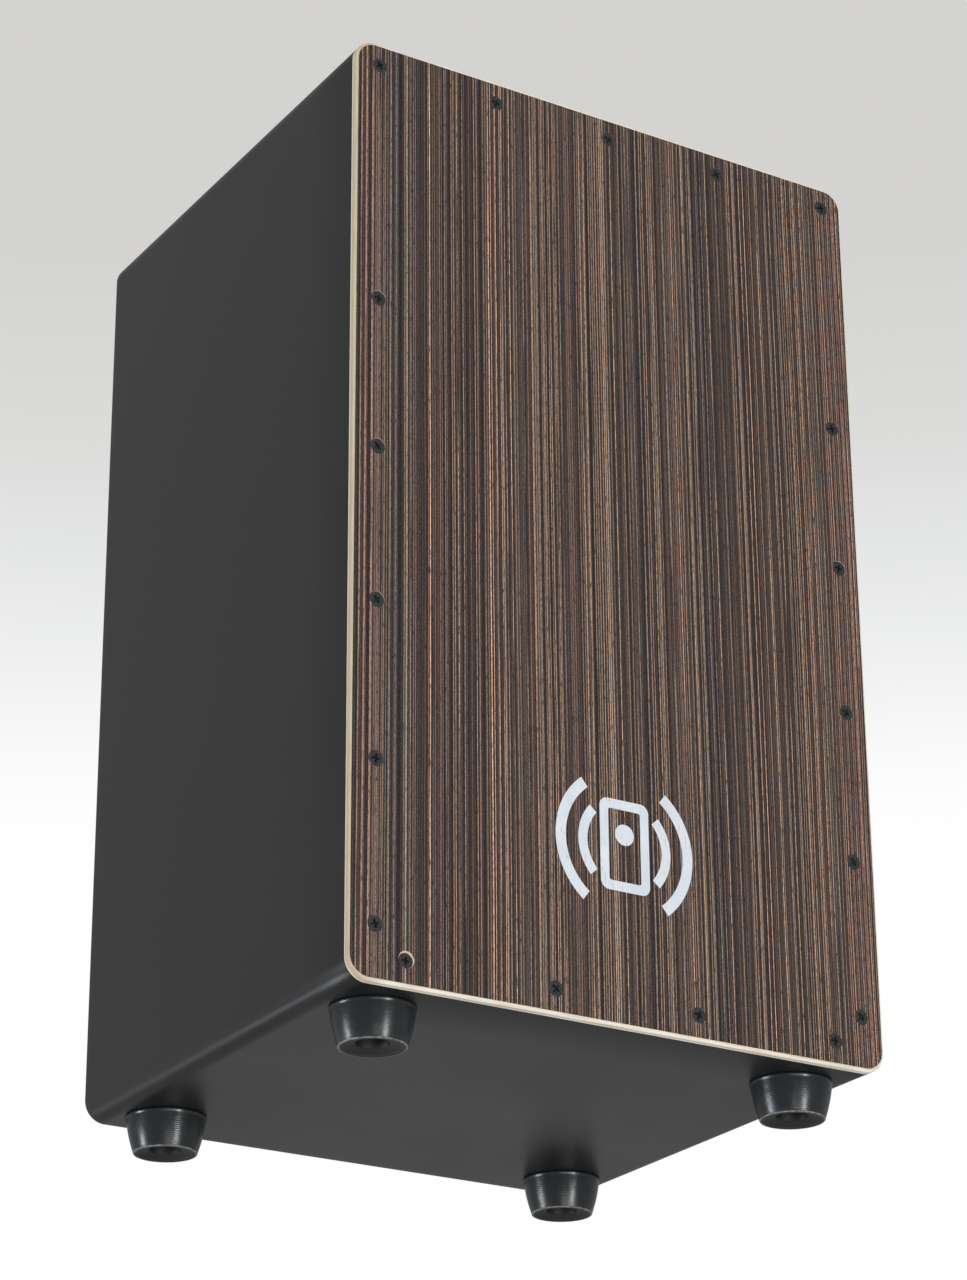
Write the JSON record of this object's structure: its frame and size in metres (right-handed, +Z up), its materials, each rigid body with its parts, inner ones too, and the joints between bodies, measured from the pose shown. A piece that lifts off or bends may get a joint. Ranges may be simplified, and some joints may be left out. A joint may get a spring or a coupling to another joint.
{
  "type": "cajon",
  "caption": "Upright wooden box drum to sit on: painted carcass, screwed striped veneer striking plate, round rear sound hole, rubber feet and a hinged inner snare bar.",
  "frame": {"origin": "floor plane under the feet, centre of the footprint", "axes": "+Z up, -Y out of the striking plate towards the listener, +X to the right when facing the striking plate"},
  "size_m": [0.292, 0.264, 0.4985],
  "materials": {
    "black_paint": "satin black paint on plywood",
    "birch_ply": "clear-sealed birch plywood",
    "striped_veneer": "satin striped dark veneer",
    "softwood": "planed softwood",
    "beech": "planed beech",
    "black_rubber": "moulded rubber, slight sheen",
    "black_screw": "black oxide",
    "zinc_steel": "zinc plated",
    "snare_wire": "bright spring wire",
    "felt": "pressed felt"
  },
  "bodies": {
    "case": {"bottom_board": "black_paint", "foot_front_left": "black_rubber", "foot_front_right": "black_rubber", "foot_rear_left": "black_rubber", "foot_rear_right": "black_rubber", "foot_screw_front_left": "zinc_steel", "foot_screw_front_right": "zinc_steel", "foot_screw_rear_left": "zinc_steel", "foot_screw_rear_right": "zinc_steel", "foot_washer_front_left": "zinc_steel", "foot_washer_front_right": "zinc_steel", "foot_washer_rear_left": "zinc_steel", "foot_washer_rear_right": "zinc_steel", "front_batten_bottom": "softwood", "front_batten_left": "softwood", "front_batten_right": "softwood", "front_batten_top": "softwood", "front_plate_core": "birch_ply", "front_plate_veneer": "striped_veneer", "left_side_panel": "black_paint", "plate_screw_bottom_1": "black_screw", "plate_screw_bottom_2": "black_screw", "plate_screw_bottom_3": "black_screw", "plate_screw_bottom_4": "black_screw", "plate_screw_left_1": "black_screw", "plate_screw_left_2": "black_screw", "plate_screw_left_3": "black_screw", "plate_screw_left_4": "black_screw", "plate_screw_left_5": "black_screw", "plate_screw_left_6": "black_screw", "plate_screw_right_1": "black_screw", "plate_screw_right_2": "black_screw", "plate_screw_right_3": "black_screw", "plate_screw_right_4": "black_screw", "plate_screw_right_5": "black_screw", "plate_screw_right_6": "black_screw", "plate_screw_top_1": "black_screw", "plate_screw_top_2": "black_screw", "plate_screw_top_3": "black_screw", "rear_batten_bottom": "softwood", "rear_batten_left": "softwood", "rear_batten_right": "softwood", "rear_batten_top": "softwood", "rear_panel": "black_paint", "right_side_panel": "black_paint", "seat_board": "black_paint", "snare_bearing_block_left": "beech", "snare_bearing_block_right": "beech"},
    "snare_hanger": {"snare_bar": "beech", "snare_friction_washer_left": "felt", "snare_friction_washer_right": "felt", "snare_lever": "zinc_steel", "snare_lever_grip": "black_rubber", "snare_lever_screw_left": "zinc_steel", "snare_lever_screw_right": "zinc_steel", "snare_shaft": "zinc_steel", "snare_wire_screw_left": "zinc_steel", "snare_wire_screw_right": "zinc_steel", "snare_wires_left": "snare_wire", "snare_wires_right": "snare_wire"}
  },
  "joints": [
    {"name": "snare_bar_hinge", "type": "hinge", "parent": "case", "child": "snare_hanger", "pos_m": [0, -0.094, 0.4445], "axis": [1, 0, 0], "range_deg": [0, 22]}
  ]
}
